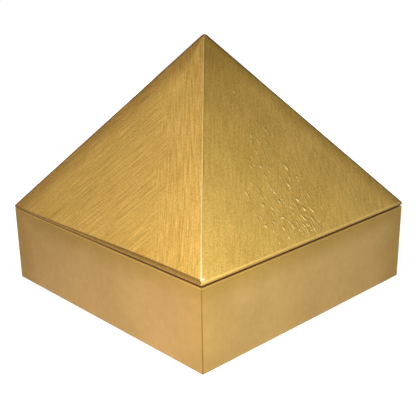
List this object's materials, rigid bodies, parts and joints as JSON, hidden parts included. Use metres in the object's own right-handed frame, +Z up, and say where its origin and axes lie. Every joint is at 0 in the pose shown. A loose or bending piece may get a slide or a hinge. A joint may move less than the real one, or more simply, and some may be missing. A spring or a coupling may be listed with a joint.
{
  "type": "pyramid box",
  "caption": "Square wooden keepsake box painted gold, with a hollow pyramid lid that swings open on butt hinges at the back.",
  "frame": {"origin": "middle of the underside of the bottom panel, in the plane that the box rests on", "axes": "+Z up towards the point of the lid, -Y the front of the box, +Y the side with the hinges"},
  "size_m": [0.152, 0.1554, 0.1357],
  "materials": {
    "painted_lid_wood": "metallic gold paint, brushed on, satin with fine ridges",
    "painted_base_wood": "metallic gold paint, smooth satin",
    "bare_wood": "sanded, unpainted",
    "hinge_brass": "pressed brass, slightly dulled",
    "screw_brass": "turned brass"
  },
  "bodies": {
    "base": {"front_wall": "painted_base_wood", "back_wall": "painted_base_wood", "left_wall": "painted_base_wood", "right_wall": "painted_base_wood", "bottom_panel": "bare_wood", "left_hinge_base_leaf": "hinge_brass", "left_hinge_pin": "hinge_brass", "left_hinge_base_screw_1": "screw_brass", "left_hinge_base_screw_2": "screw_brass", "right_hinge_base_leaf": "hinge_brass", "right_hinge_pin": "hinge_brass", "right_hinge_base_screw_1": "screw_brass", "right_hinge_base_screw_2": "screw_brass"},
    "lid": {"lid_front_panel": "painted_lid_wood", "lid_back_panel": "painted_lid_wood", "lid_left_panel": "painted_lid_wood", "lid_right_panel": "painted_lid_wood", "left_hinge_lid_leaf": "hinge_brass", "left_hinge_lid_screw_1": "screw_brass", "left_hinge_lid_screw_2": "screw_brass", "right_hinge_lid_leaf": "hinge_brass", "right_hinge_lid_screw_1": "screw_brass", "right_hinge_lid_screw_2": "screw_brass"}
  },
  "joints": [
    {"name": "lid_hinge", "type": "hinge", "parent": "base", "child": "lid", "pos_m": [0, 0.07785, 0.0421], "axis": [-1, 0, 0], "range_deg": [0, 149]}
  ]
}
